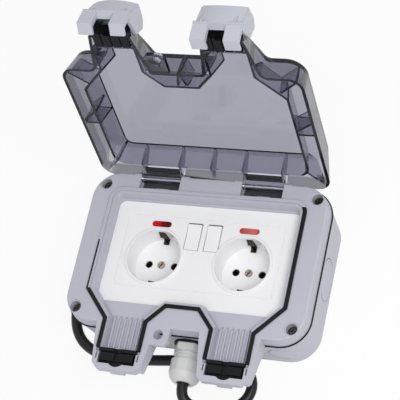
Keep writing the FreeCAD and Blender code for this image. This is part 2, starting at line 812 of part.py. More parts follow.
def switch_body():
    """Box behind the two rockers with the pin that both turn on."""
    half_x = rocker_x + rocker_width / 2 + switch_wall
    half_y = rocker_length / 2 + switch_wall
    low, high = plate_z - 19.0, plate_z - plate_skin - seat_gap
    shell = block(-half_x, rocker_y - half_y, low, half_x, rocker_y + half_y, high)
    for side in (-1, 1):
        x, in_x, in_y = side * rocker_x, rocker_width / 2 + fit_gap, rocker_length / 2 + fit_gap
        shell = shell.cut(block(x - in_x, rocker_y - in_y, low + 3, x + in_x, rocker_y + in_y, high + 1))
    axis_z = plate_z - rocker_axis_drop
    shell = shell.cut([socket_hole(side, socket_body_d + 2 * fit_gap) for side in (-1, 1)])
    pin = rod(switch_pin_d, (-half_x + 0.8, rocker_y, axis_z), (half_x - 0.8, rocker_y, axis_z))
    return shell.cut(pin), pin


def screw(x, y, head_z, head_d, shank_d, length):
    """Pan screw with a cross slot, pointing down."""
    head = rod(head_d, (x, y, head_z), (x, y, head_z + 2.0))
    edge = [e for e in head.Edges if e.BoundBox.ZMin > head_z + 1.99]
    head = head.makeFillet(0.6, edge)
    shank = rod(shank_d, (x, y, head_z - length), (x, y, head_z))
    body = joined([head, shank])
    for size_x, size_y in ((head_d * 0.3, 0.4), (0.4, head_d * 0.3)):
        body = body.cut(block(x - size_x, y - size_y, head_z + 1.0, x + size_x, y + size_y, head_z + 3))
    return body


# Lid, drawn closed and swung open at the end
def lid_outline(side_x, front_y, back_y, snout_sizes):
    root_in, root_out, tip_in, tip_out, end_y = snout_sizes
    right = [(root_in, front_y), (tip_in, end_y), (tip_out, end_y), (root_out, front_y), (side_x, front_y),
             (side_x, back_y)]
    return [(-x, y) for x, y in reversed(right)] + right


def lid_radii(corner, root, tip):
    right = [root * 0.5, tip, tip, root, corner, corner]
    return list(reversed(right)) + right


def lid_solid(wall):
    """The lid's outer form, or with a wall, the hollow inside it."""
    rim = lid_outline(lid_side_x, lid_front_y, lid_back_y, lid_snout_rim)
    top = lid_outline(lid_top_side_x, lid_top_front_y, lid_top_back_y, lid_snout_top)
    if not wall:
        return tapered(rim, lid_radii(lid_corner, 5.0, 3.0), rim_z, top, lid_radii(lid_top_corner, 5.0, 3.0), lid_top_z)
    share = lid_depth / (lid_depth + lid_panel)
    ceiling = [(x0 + (x1 - x0) * share, y0 + (y1 - y0) * share) for (x0, y0), (x1, y1) in zip(rim, top)]
    rim_radii = lid_radii(lid_corner - wall, 5.0 + wall, 1.0)
    top_radii = lid_radii(lid_top_corner - wall, 5.0 + wall, 1.0)
    return tapered(inset(rim, wall), rim_radii, rim_z, inset(ceiling, wall), top_radii, panel_z)


def inner_wall(offset):
    """Solid bounded by one face of the lid's drafted inner wall."""
    low = inset(lip_outline(), offset)
    high = inset(lip_outline(), offset + lid_inner_draft)
    return tapered(low, lip_radii(low, lip_corner - offset, 1.0), inner_rim_z,
                   high, lip_radii(high, lip_corner - offset - lid_inner_draft * 0.5, 1.0), panel_z + 1)


def rib(start, end):
    """Upright web between the lid's two walls, from one plan point to another."""
    along = V(end[0] - start[0], end[1] - start[1], 0)
    web = block(0, -lid_rib / 2, rim_z + 0.8, along.Length, lid_rib / 2, panel_z + 1)
    web.rotate(V(0, 0, 0), V(0, 0, 1), math.degrees(math.atan2(along.y, along.x)))
    return web.translated(V(start[0], start[1], 0))


def lid_ribs():
    webs = [rib((x, lip_hinge_y - 3), (x, lid_back_y)) for x in lid_hinge_ribs]
    inner_x, outer_x = lip_side_x - 5.0, lid_side_x
    for side in (-1, 1):
        webs.append(rib((side * inner_x, side_rib_y), (side * outer_x, side_rib_y)))
        webs.append(rib((side * (inner_x - 2.0), -35.5), (side * (outer_x - 1.8), -51.0)))
        webs.append(rib((side * inner_x, 37.0), (side * (outer_x - 3.8), 52.5)))
    webs.append(rib((-inner_x - 4.0, side_rib_y - side_rib_run), (-outer_x, side_rib_y)))
    webs.append(rib((inner_x, side_rib_y), (outer_x, side_rib_y - side_rib_run)))
    for side in (-1, 1):
        webs.append(rib((front_rib_x + side * front_rib_spread, lip_middle_y + 1.0), (front_rib_x, lid_front_y - 1.3)))
    return webs


def hinge_arms():
    """Flat arms and barrels that hang the lid on its two pins."""
    made = []
    for side in (-1, 1):
        x0, x1 = hinge_recess_x
        x0, x1 = sorted((side * (x0 + knuckle_gap), side * (x1 - knuckle_gap)))
        reach = rim_z + 1.0
        profile = [(hinge_y - 6.6, reach), (hinge_y - 6.6, rim_z), (hinge_y - 2.1, hinge_z - 1.9), (hinge_y, hinge_z),
                   (hinge_y + knuckle_r - 0.02, hinge_z), (hinge_y + knuckle_r - 0.1, reach)]
        made.append(prism_x(profile, x0, x1))
        made.append(rod(2 * knuckle_r, (x0, hinge_y, hinge_z), (x1, hinge_y, hinge_z)))
    return made


def lid_lug():
    """Padlock lug that meets the frame's tab when the lid is shut."""
    outline = [(-22.0, -52.0), (-19.6, -66.0), (-17.0, -68.6), (-8.5, -68.6), (-5.3, -65.2), (-5.3, -52.0)]
    return slab(outline, [0, 1, 1.5, 2, 2, 0], rim_z, rim_z + 3.0)


def latch_ears():
    """Two bosses at a snout's end that hold the latch pin."""
    made = []
    pivot_z = face_z + latch_pivot_z
    for side in (-1, 1):
        x0, x1 = sorted((latch_x + side * (latch_cheek_inner - 0.4), latch_x + side * (latch_cheek_inner - 4.4)))
        profile = [(latch_pivot_y + 9.5, pivot_z - 7.0), (latch_pivot_y - 1.0, pivot_z - 3.0),
                   (latch_pivot_y + 2.0, pivot_z + 2.4), (latch_pivot_y + 6.0, pivot_z - 1.0),
                   (latch_pivot_y + 9.5, pivot_z - 1.0)]
        made.append(prism_x(profile, x0, x1))
        made.append(rod(6.6, (x0, latch_pivot_y, pivot_z), (x1, latch_pivot_y, pivot_z)))
    return made


def upper_seal_room(grow):
    """Block for the rubber seal in the end of a lid snout."""
    half = upper_seal_width / 2 + grow
    return block(latch_x - half, -86.4 - 5 * grow, rim_z - 1 if grow else upper_seal_z, latch_x + half, -74.6 + grow,
                 rim_z + upper_seal_height + grow)


def lid_shell():
    hollow = lid_solid(lid_wall)
    outer = lid_solid(0)
    body = outer.cut(hollow)
    room = inner_wall(lid_inner_wall / 2)
    fence = inner_wall(-lid_inner_wall / 2).cut(room).common(outer)
    webs = [web.common(outer).cut(room) for web in lid_ribs()]
    ears = []
    for ear in latch_ears():
        ears += both_sides(ear.cut(room))
    body = joined([body, fence, lid_lug().cut(room)] + webs + ears + hinge_arms())
    cuts = []
    pivot_z = face_z + latch_pivot_z
    pin = rod(latch_pin_d, (latch_x - 20, latch_pivot_y, pivot_z), (latch_x + 20, latch_pivot_y, pivot_z))
    cuts += both_sides(pin) + both_sides(upper_seal_room(fit_gap / 2))
    x0, x1 = hinge_recess_x
    bore = hinge_pin_d + 2 * hinge_pin_play
    cuts += both_sides(rod(bore, (x0 - 1, hinge_y, hinge_z), (x1 + 1, hinge_y, hinge_z)))
    cuts.append(rod(tab_hole_d, (*lug_hole, rim_z - 1), (*lug_hole, rim_z + 4)))
    return body.cut(cuts)


def latch(side):
    """Snap latch: curved cap between two cheeks, two legs with toes and two gussets."""
    def lifted(profile):
        return [(y, z + face_z) for y, z in profile]

    half = latch_width / 2
    top = latch_dome_z
    outer = prism_x(lifted([(-79.9, top - 4.6), (-79.9, top - 1.9), (-83.0, top - 0.4), (-89.0, top), (-95.2, top - 1.6),
                            (-99.0, top - 4.6), (-99.0, 3.0), (-92.0, 3.0)]), -half, half)
    inner = prism_x(lifted([(-79.0, 10.0), (-79.0, top - 4.2), (-83.2, top - 2.5), (-89.0, top - 2.1),
                            (-94.4, top - 3.6), (-96.9, top - 5.8), (-96.9, 2.0), (-79.0, 2.0)]), -half - 1, half + 1)
    bow = latch_bow_r
    centre_y = bow - 98.9
    shape = outer.common(rod(2 * bow, (0, centre_y, 0), (0, centre_y, 90)))
    core = inner.common(rod(2 * (bow - 2.2), (0, centre_y, 0), (0, centre_y, 90)))
    shell = shape.cut(core)
    cheek = lifted([(-95.2, top - 2.6), (-86.3, top - 0.3), (-83.0, top - 0.4), (-78.2, top - 2.6), (-79.3, 9.7),
                    (-89.8, 4.1), (-94.4, 3.0), (-96.0, 5.0)])
    legs = lifted([(-98.4, 5.0), (-94.8, latch_leg_low), (-86.4, latch_leg_low), (-86.4, latch_leg_low + 1.8),
                   (-91.4, latch_leg_low + 1.8), (-95.2, 5.0)])
    gusset = lifted([(-98.0, 4.8), (-94.0, top - 4.0), (-93.8, 4.8)])
    pieces = [shell, block(-latch_span / 2, -98.4, face_z + 3.0, latch_span / 2, -92.6, face_z + 5.0)]
    for end in (-1, 1):
        inner_x, outer_x = sorted((end * latch_cheek_inner, end * (latch_cheek_inner + latch_cheek)))
        pieces.append(prism_x(cheek, inner_x, outer_x))
        leg_in, leg_out = sorted((end * (latch_span / 2 - latch_leg_width), end * latch_span / 2))
        pieces.append(prism_x(legs, leg_in, leg_out))
        pieces.append(prism_x(gusset, end * 11.0 - 0.8, end * 11.0 + 0.8))
    pivot_z = face_z + latch_pivot_z
    pin_hole = rod(latch_pin_d + 2 * hinge_pin_play, (-20, latch_pivot_y, pivot_z), (20, latch_pivot_y, pivot_z))
    body = joined(pieces).cut(pin_hole)
    swing = latch_swing_left if side < 0 else latch_swing_right
    body = body.rotated(V(0, latch_pivot_y, pivot_z), V(1, 0, 0), -swing)
    return opened(body.translated(V(side * latch_x, 0, 0)))


def latch_pin(side):
    x, pivot_z = side * latch_x, face_z + latch_pivot_z
    half = latch_cheek_inner + latch_cheek
    return opened(rod(latch_pin_d, (x - half, latch_pivot_y, pivot_z), (x + half, latch_pivot_y, pivot_z)))


def upper_seal(side):
    """Rubber pad in a lid snout, slit from below to close on the cables."""
    pad = upper_seal_room(0)
    for x in (-6.5, 0.0, 6.5):
        pad = pad.cut(block(latch_x + x - 0.4, -95, upper_seal_z - 1, latch_x + x + 0.4, -70, upper_seal_z + 3.0))
    pad = pad.cut(block(latch_x - 4, -87, upper_seal_z - 1, latch_x + 4, -84.8, upper_seal_z + 4))
    if side < 0:
        pad = pad.mirror(V(0, 0, 0), V(1, 0, 0))
    return opened(pad)


def lower_seal(side):
    """Rubber pad across a frame snout, two tiers with a bulged lip in the middle."""
    middle = (channel_inner_x + channel_outer_x) / 2
    y0, y1 = seal_y_start - seal_length, seal_y_start
    half = seal_width / 2
    base = block(middle - half, y0, channel_z, middle + half, y1, face_z - 2.2)
    tier = block(middle - half + 1.2, y0 + 1.6, face_z - 2.2, middle + half - 1.2, y1 - 3.0, face_z + seal_proud - 0.6)
    front = block(middle - half, y1 - 2.4, face_z - 2.2, middle + half, y1, face_z + seal_proud)
    body = joined([base, tier, front, seal_bulge(0)])
    notch = block(middle - 2.2, y1 - 2.6, face_z - 1.2, middle + 2.2, y1 + 1, face_z + 5)
    dip = block(middle - 1.6, y0 + 1, face_z - 0.8, middle + 1.6, y1 - 2, face_z + 5)
    body = body.cut([notch, dip])
    if side < 0:
        body = body.mirror(V(0, 0, 0), V(1, 0, 0))
    return body


# Gland and supply cord
def along_gland(y_from_wall):
    return (gland_x, gland_pad_y - y_from_wall, gland_z)


def hexagon(across_flats, y0, y1):
    radius = across_flats / math.sqrt(3)
    points = [V(gland_x + radius * math.cos(math.pi / 3 * i), y0, gland_z + radius * math.sin(math.pi / 3 * i))
              for i in range(6)]
    face = Part.Face(Part.makePolygon(points + points[:1]))
    return face.extrude(V(0, y1 - y0, 0))


def gland_washer():
    return tube(gland_washer_d, gland_thread_d + fit_gap, along_gland(0), along_gland(gland_washer_thick))


def gland_body():
    """Hex collar with a stub through the wall, two bead rings and a split clamping neck."""
    seat = gland_washer_thick
    collar = hexagon(gland_hex, gland_pad_y - seat, gland_pad_y - seat - gland_hex_length)
    neck_end = seat + gland_hex_length + gland_neck_length
    neck = rod(gland_neck_d, along_gland(seat + gland_hex_length), along_gland(neck_end))
    bead = rod(gland_neck_d + 1.8, along_gland(seat + gland_hex_length + 1.4), along_gland(seat + gland_hex_length + 2.8))
    stub = rod(gland_thread_d, along_gland(-8.5), along_gland(seat))
    fingers = rod(gland_thread_d - 1.5, along_gland(neck_end), along_gland(neck_end + 7.0))
    bore = rod(cord_d + 2 * gland_bore_play, along_gland(-12), along_gland(neck_end + 12))
    wide = rod(gland_thread_d - 4.0, along_gland(neck_end - 1), along_gland(neck_end + 12))
    return joined([collar, neck, bead, stub, fingers]).cut([bore, wide])


def gland_insert():
    """Rubber bush between the clamping fingers and the cord."""
    start = gland_washer_thick + gland_hex_length + gland_neck_length - 1
    return tube(gland_thread_d - 4.0, cord_d + 2 * gland_bore_play, along_gland(start), along_gland(start + 8.0))


def gland_nut():
    """Domed nut with a faceted grip, closed down to the cord at its mouth."""
    start = gland_washer_thick + gland_hex_length + gland_neck_length + seat_gap
    end = start + gland_nut_length
    radius = gland_nut_d / 2
    profile = [(start, 0), (start, radius), (end - 6.0, radius), (end - 2.2, radius * 0.86), (end, radius * 0.66), (end, 0)]
    points = [V(gland_x + r, gland_pad_y - y, gland_z) for y, r in profile]
    dome = Part.Face(Part.makePolygon(points + points[:1]))
    dome = dome.revolve(V(gland_x, 0, gland_z), V(0, 1, 0), 360)
    facets = hexagon(gland_nut_d * 0.985, gland_pad_y - start - 7.5, gland_pad_y - start)
    facets = facets.common(facets.rotated(V(gland_x, 0, gland_z), V(0, 1, 0), 30))
    grip_room = tube(gland_nut_d + 8, 0.1, along_gland(start - 0.1), along_gland(start + 7.5)).cut(facets)
    bore = rod(gland_thread_d - 1.5 + fit_gap, along_gland(start - 1), along_gland(end - 7.0))
    mouth = rod(gland_nut_mouth_d, along_gland(start), along_gland(end + 1))
    return dome.cut([grip_room, bore, mouth])


def gland_locknut():
    inside_y = gland_seat_y()
    nut = hexagon(gland_hex, inside_y + seat_gap, inside_y + 3.6)
    bore = rod(gland_thread_d + 0.02, (gland_x, inside_y - 2, gland_z), (gland_x, inside_y + 8, gland_z))
    return nut.cut(bore)


def cord_inlet():
    """The cord's straight stretch through the gland, with its three cores to the terminals."""
    out = V(*cord_route[0])
    inside_y = gland_pad_y + 13.0
    jacket = rod(cord_d, (out.x, out.y, out.z), (out.x, inside_y, out.z))
    cores = [rod(core_d, (out.x + dx, inside_y, out.z), (out.x + dx, terminal_y - terminal_depth / 2, out.z))
             for dx in (-core_pitch, 0.0, core_pitch)]
    return joined([jacket] + cores)


def terminal_block():
    half = 14.0
    y0, y1 = terminal_y - terminal_depth / 2, terminal_y + terminal_depth / 2
    body = block(gland_x - half, y0, box_floor, gland_x + half, y1, gland_z + 5)
    for dx in (-9.0, 0.0, 9.0):
        body = body.cut(rod(4.0, (gland_x + dx, terminal_y, gland_z), (gland_x + dx, terminal_y, gland_z + 6)))
    return body


def tube_along(points, diameter):
    """Round bar along straight runs joined by tangent arcs, each as large as its runs allow."""
    corners = [V(*p) for p in points]
    edges = []
    at = corners[0]
    radii = []
    for i in range(1, len(corners) - 1):
        back, ahead = corners[i - 1] - corners[i], corners[i + 1] - corners[i]
        reach = 0.45 * min(back.Length, ahead.Length)
        back.normalize()
        ahead.normalize()
        half_turn = (math.pi - back.getAngle(ahead)) / 2
        radius = reach / math.tan(half_turn)
        start, end = corners[i] + back * reach, corners[i] + ahead * reach
        middle = corners[i] + (back + ahead).normalize() * (radius / math.cos(half_turn) - radius)
        edges.append(Part.LineSegment(at, start).toShape())
        edges.append(Part.Arc(start, middle, end).toShape())
        radii.append(round(radius, 1))
        at = end
    edges.append(Part.LineSegment(at, corners[-1]).toShape())
    path = Part.Wire(edges)
    section = Part.Wire(Part.makeCircle(diameter / 2, corners[0], corners[1] - corners[0]))
    bar = path.makePipeShell([section], True, True)
    print("cord arcs", radii)
    print("cord length", round(path.Length, 1), "volume ratio",
          round(bar.Volume / (math.pi * diameter ** 2 / 4 * path.Length), 4))
    return bar


def cord_end():
    """Bare end of the cord: jacket cut back from three cores."""
    last, before = V(*cord_route[-1]), V(*cord_route[-2])
    along = (last - before).normalize()
    across = V(-along.y, along.x, 0)
    cores = []
    for step, length in ((-1, 20.0), (0, 24.0), (1, 21.0)):
        start = last + across * (step * core_pitch)
        end = start + along * length
        cores.append(rod(core_d, tuple(start), tuple(end)))
    return Part.makeCompound(cores)


# Every piece, by the name it is filed under
def build():
    parts["back_box"] = back_box()
    parts["box_seal"] = box_seal()
    parts["front_frame"] = front_frame()
    inner_run, outer_run = gaskets()
    parts["lid_gasket_middle"] = inner_run
    parts["lid_gasket"] = outer_run
    parts["cover_plate"] = cover_plate()
    parts["plate_carrier"] = plate_carrier()
    shell, pin = switch_body()
    parts["switch_body"] = shell
    parts["rocker_pin"] = pin
    carrier_high = plate_z - plate_rim
    parts["plate_screws"] = Part.makeCompound([screw(side * plate_screw_x, 0, carrier_high - plate_head_sink,
                                                     plate_head_d, plate_screw_d, plate_screw_length)
                                               for side in (-1, 1)])
    frame_screws = [screw(x, y, face_z - screw_bore_depth, frame_head_d, frame_screw_d, frame_screw_length)
                    for x, y in four_corners(frame_screw_x, frame_screw_y)]
    parts["frame_screws"] = Part.makeCompound(frame_screws)
    for name, side in (("left", -1), ("right", 1)):
        parts[name + "_socket_well"] = socket_insert(side)
        parts[name + "_contact_sleeves"] = contact_sleeves(side)
        parts[name + "_earth_clip"] = earth_clip(side)
        parts[name + "_well_screw"] = centre_screw(side)
        parts[name + "_neon_lens"] = neon_lens(side)
        parts[name + "_neon_lamp"] = neon_lamp(side)
        parts[name + "_rocker"] = rocker(side)
        parts[name + "_lower_seal"] = lower_seal(side)
        parts[name + "_upper_seal"] = upper_seal(side)
        parts[name + "_latch"] = latch(side)
        parts[name + "_latch_pin"] = latch_pin(side)
        x0, x1 = sorted((side * (ear_x[0] + 1.5), side * (ear_x[1] - 0.3)))
        parts[name + "_hinge_pin"] = rod(hinge_pin_d, (x0, hinge_y, hinge_z), (x1, hinge_y, hinge_z))
    parts["lid_shell"] = opened(lid_shell())
    parts["gland_washer"] = gland_washer()
    parts["gland_body"] = gland_body()
    parts["gland_insert"] = gland_insert()
    parts["gland_nut"] = gland_nut()
    parts["gland_locknut"] = gland_locknut()
    parts["terminal_block"] = terminal_block()
    parts["cord_inlet"] = cord_inlet()
    parts["supply_cord"] = tube_along(cord_route, cord_d)
    parts["cord_cores"] = cord_end()


build()
os.makedirs("parts", exist_ok=True)
for name, shape in parts.items():
    print(name, len(shape.Solids), round(shape.Volume, 1), shape.isValid())
    shape.exportStep("parts/" + name + ".step")
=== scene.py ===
# %% [markdown]
# # A weatherproof double outlet, dressed for its picture
# The solid model already holds every moulded piece at its real size. Here those pieces get
# their finishes, the flexible cord is laid on the table, and lamps and a camera are set up.
# We start by loading the solids and keeping the size of the whole object.

# %% Load the solids
import math

import bmesh
import bpy
from mathutils import Matrix, Quaternion, Vector


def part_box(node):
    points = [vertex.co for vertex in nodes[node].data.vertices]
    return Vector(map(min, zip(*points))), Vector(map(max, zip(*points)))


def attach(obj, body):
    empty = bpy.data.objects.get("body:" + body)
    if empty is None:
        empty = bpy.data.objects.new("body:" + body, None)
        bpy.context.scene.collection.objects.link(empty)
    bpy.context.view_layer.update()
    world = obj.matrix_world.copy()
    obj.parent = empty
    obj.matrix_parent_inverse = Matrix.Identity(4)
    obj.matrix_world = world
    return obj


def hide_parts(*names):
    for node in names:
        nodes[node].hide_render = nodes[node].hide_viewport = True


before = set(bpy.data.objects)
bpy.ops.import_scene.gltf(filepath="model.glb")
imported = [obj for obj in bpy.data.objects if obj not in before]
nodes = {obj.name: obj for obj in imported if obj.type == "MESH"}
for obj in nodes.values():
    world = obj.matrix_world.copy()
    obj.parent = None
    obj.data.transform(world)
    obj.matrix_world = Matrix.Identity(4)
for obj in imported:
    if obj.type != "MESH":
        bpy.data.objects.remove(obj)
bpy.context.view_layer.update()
MM = 0.001
print("pieces in the frame:", len(nodes))

# %% [markdown]
# ## Helpers
# Every finish below is a small tree of nodes, and the same few steps come back in each: an
# empty material, a sum, the place of a shaded point. Short functions for them keep the later
# cells down to what is special about each finish.

# %% Helpers for objects and node trees
def link_object(name, data):
    """A new object in the scene, for a camera, a lamp, a mesh or a curve."""
    made = bpy.data.objects.new(name, data)
    bpy.context.scene.collection.objects.link(made)
    return made


def new_material(name):
    """An empty material, its node tree and its output node."""
    material = bpy.data.materials.new(name)
    material.use_nodes = True
    tree = material.node_tree
    tree.nodes.clear()
    return material, tree, tree.nodes.new("ShaderNodeOutputMaterial")


def calculate(tree, operation, *values):
    """A maths node whose inputs are numbers or the outputs of other nodes."""
    node = tree.nodes.new("ShaderNodeMath")
    node.operation = operation
    for slot, value in zip(node.inputs, values):
        if isinstance(value, (int, float)):
            slot.default_value = value
        else:
            tree.links.new(value, slot)
    return node.outputs[0]


def object_axes(tree):
    """X, Y and Z of a shaded point, in the object's own coordinates."""
    place = tree.nodes.new("ShaderNodeTexCoord")
    axes = tree.nodes.new("ShaderNodeSeparateXYZ")
    tree.links.new(place.outputs["Object"], axes.inputs[0])
    return axes.outputs["X"], axes.outputs["Y"], axes.outputs["Z"]


def seen_directly(tree):
    """1 for rays that look at the backdrop: from the camera, in gloss or through clear plastic."""
    path = tree.nodes.new("ShaderNodeLightPath")
    seen = path.outputs["Is Camera Ray"]
    for kind in ("Is Glossy Ray", "Is Transmission Ray"):
        seen = calculate(tree, "MAXIMUM", seen, path.outputs[kind])
    return seen


def mix_to_surface(tree, factor, first, second, output):
    """Blends two shaders by a factor and hands the blend to the output's surface."""
    blend = tree.nodes.new("ShaderNodeMixShader")
    tree.links.new(factor, blend.inputs[0])
    tree.links.new(first.outputs[0], blend.inputs[1])
    tree.links.new(second.outputs[0], blend.inputs[2])
    tree.links.new(blend.outputs[0], output.inputs["Surface"])


# %% [markdown]
# ## Camera
# The outlet was seen from above and from its right, with a long lens from about a metre, and
# the camera was tipped sideways so that the hinge runs almost level. A position, a point to
# look at and a roll say this more plainly than a matrix would.

# %% Camera
camera_place = Vector((377.8, -354.9, 971.2)) * MM
camera_target = Vector((-5.24, 39.12, 46.0)) * MM
camera_roll = math.radians(-35.41)
camera_data = bpy.data.cameras.new("camera")
camera_data.lens = 140.84
camera_data.sensor_width = 36.0
camera_data.clip_end = 20.0
camera = link_object("camera", camera_data)
aim = (camera_target - camera_place).to_track_quat("-Z", "Y")
camera.rotation_mode = "QUATERNION"
camera.rotation_quaternion = aim @ Quaternion((0, 0, 1), camera_roll)
camera.location = camera_place
bpy.context.scene.camera = camera
bpy.context.scene.view_settings.view_transform = "Standard"
print("camera", round((camera_target - camera_place).length, 3), "m from what it looks at")

# %% [markdown]
# ## Table, sky and lamps
# A product picture has a white sweep with hardly a shadow on it. The table stays a real
# surface that takes a soft shadow, but rays from the camera, from gloss and through clear
# plastic mostly meet plain white on it. The sky does the same. The lamps themselves stay
# at a plain level: a soft box above and right, and a broader one over the cable side.

# %% Table
table_white = 0.88
table_glow_share = 0.90
table_half_size = 4.0
table_material, tree, output = new_material("white_table")
diffuse = tree.nodes.new("ShaderNodeBsdfDiffuse")
diffuse.inputs["Color"].default_value = (table_white, table_white, table_white, 1)
glow = tree.nodes.new("ShaderNodeEmission")
glow.inputs["Strength"].default_value = 1.0
glow_share = calculate(tree, "MULTIPLY", seen_directly(tree), table_glow_share)
mix_to_surface(tree, glow_share, diffuse, glow, output)

table_mesh = bpy.data.meshes.new("table")
sheet = bmesh.new()
bmesh.ops.create_grid(sheet, x_segments=1, y_segments=1, size=table_half_size)
sheet.to_mesh(table_mesh)
sheet.free()
table = link_object("table", table_mesh)
table_mesh.materials.append(table_material)
print("table", [round(side, 2) for side in table.dimensions], "m")

# %% Sky
sky_light_strength = 0.52
sky_seen_strength = 1.0


def white_background(tree, strength):
    background = tree.nodes.new("ShaderNodeBackground")
    background.inputs["Color"].default_value = (1.0, 1.0, 1.0, 1)
    background.inputs["Strength"].default_value = strength
    return background


world = bpy.data.worlds.new("studio")
bpy.context.scene.world = world
world.use_nodes = True
tree = world.node_tree
tree.nodes.clear()
output = tree.nodes.new("ShaderNodeOutputWorld")
sky_light = white_background(tree, sky_light_strength)
sky_seen = white_background(tree, sky_seen_strength)
mix_to_surface(tree, seen_directly(tree), sky_light, sky_seen, output)
print("sky lights with", sky_light_strength, "and is seen as", sky_seen_strength)


# %% Lamps
def soft_box(name, place, target, size, watts):
    """A square area lamp at one point, aimed at another, all in metres."""
    lamp = bpy.data.lights.new(name, "AREA")
    lamp.shape = "SQUARE"
    lamp.size = size
    lamp.energy = watts
    body = link_object(name, lamp)
    body.location = place
    body.rotation_euler = (Vector(target) - Vector(place)).to_track_quat("-Z", "Y").to_euler()
    print(name, size, "m wide,", watts, "W")


soft_box("key_lamp", place=(0.50, -0.18, 0.80), target=(0.03, 0, 0.05), size=0.4, watts=3.6)
soft_box("front_lamp", place=(0.10, -0.8, 1.3), target=(0, 0, 0.05), size=0.9, watts=3.0)

# %% [markdown]
# ## Finishes
# Moulded plastic is never quite smooth: the tool leaves a fine grain, and the gloss drifts a
# little over a face. One node group makes both, from noise in the object's own coordinates,
# and every plastic places it with its own values.

# %% The moulding grain group
grain_detail = 3.0
cloud_scale, cloud_detail = 38.0, 2.0
cloud_low, cloud_high = 0.3, 0.7


def add_socket(group, name, direction, value=None):
    socket = group.interface.new_socket(name=name, in_out=direction, socket_type="NodeSocketFloat")
    if value is not None:
        socket.default_value = value


grain = bpy.data.node_groups.new("Moulding Grain", "ShaderNodeTree")
add_socket(grain, "Scale", "INPUT", 1500.0)
add_socket(grain, "Roughness", "INPUT", 0.4)
add_socket(grain, "Drift", "INPUT", 0.06)
add_socket(grain, "Roughness", "OUTPUT")
add_socket(grain, "Height", "OUTPUT")
add_socket(grain, "Cloud", "OUTPUT")
inside = grain.nodes.new("NodeGroupInput")
outside = grain.nodes.new("NodeGroupOutput")
place = grain.nodes.new("ShaderNodeTexCoord")
fine = grain.nodes.new("ShaderNodeTexNoise")
fine.inputs["Detail"].default_value = grain_detail
broad = grain.nodes.new("ShaderNodeTexNoise")
broad.inputs["Scale"].default_value = cloud_scale
broad.inputs["Detail"].default_value = cloud_detail
spread = grain.nodes.new("ShaderNodeMapRange")
spread.inputs["From Min"].default_value = cloud_low
spread.inputs["From Max"].default_value = cloud_high
spread.inputs["To Min"].default_value = -1.0
spread.inputs["To Max"].default_value = 1.0
grain.links.new(place.outputs["Object"], fine.inputs["Vector"])
grain.links.new(place.outputs["Object"], broad.inputs["Vector"])
grain.links.new(inside.outputs["Scale"], fine.inputs["Scale"])
grain.links.new(broad.outputs["Fac"], spread.inputs["Value"])
drifting = calculate(grain, "MULTIPLY_ADD", spread.outputs["Result"], inside.outputs["Drift"],
                     inside.outputs["Roughness"])
grain.links.new(drifting, outside.inputs["Roughness"])
grain.links.new(fine.outputs["Fac"], outside.inputs["Height"])
grain.links.new(broad.outputs["Fac"], outside.inputs["Cloud"])
print("grain group:", len(grain.nodes), "nodes")

# %% [markdown]
# ### Plastics and rubbers
# The frame, the latches, the plate and the gland are moulded in four different plastics, and
# the seals and the lead's sheath are black rubber. A moulded edge is never sharp, so the
# plastics of these four and the seals' rubber soften their edges as well. The white plate is
# polished and takes a shallower grain. The rubbers are held nearly black with little gloss,
# as soft rubber hardly mirrors anything.

# %% Plastics and rubbers
edge_samples = 6
polished_grain = 0.000002


def moulded_shader(tree, colour, roughness, grain_scale=1500.0, grain_depth=0.00001,
                   drift=0.05, edge=0.0, shade=0.04, gloss=0.5):
    """Solid-coloured moulding: grain, drifting gloss, soft edges and a slight cloud of colour."""
    shader = tree.nodes.new("ShaderNodeBsdfPrincipled")
    group = tree.nodes.new("ShaderNodeGroup")
    group.node_tree = grain
    group.inputs["Scale"].default_value = grain_scale
    group.inputs["Roughness"].default_value = roughness
    group.inputs["Drift"].default_value = drift
    tree.links.new(group.outputs["Roughness"], shader.inputs["Roughness"])
    bump = tree.nodes.new("ShaderNodeBump")
    bump.inputs["Distance"].default_value = grain_depth
    tree.links.new(group.outputs["Height"], bump.inputs["Height"])
    if edge:
        rounding = tree.nodes.new("ShaderNodeBevel")
        rounding.samples = edge_samples
        rounding.inputs["Radius"].default_value = edge
        tree.links.new(rounding.outputs[0], bump.inputs["Normal"])
    tree.links.new(bump.outputs[0], shader.inputs["Normal"])
    cloud = tree.nodes.new("ShaderNodeMix")
    cloud.data_type = "RGBA"
    low = [c * (1 - shade) for c in colour]
    high = [min(1.0, c * (1 + shade)) for c in colour]
    cloud.inputs["A"].default_value = (*low, 1)
    cloud.inputs["B"].default_value = (*high, 1)
    tree.links.new(group.outputs["Cloud"], cloud.inputs["Factor"])
    tree.links.new(cloud.outputs["Result"], shader.inputs["Base Color"])
    shader.inputs["Specular IOR Level"].default_value = gloss
    return shader


def moulded(name, colour, roughness, **values):
    """A material that is one moulded finish all over."""
    material, tree, output = new_material(name)
    shader = moulded_shader(tree, colour, roughness, **values)
    tree.links.new(shader.outputs[0], output.inputs["Surface"])
    print(name, "with roughness", roughness)
    return material


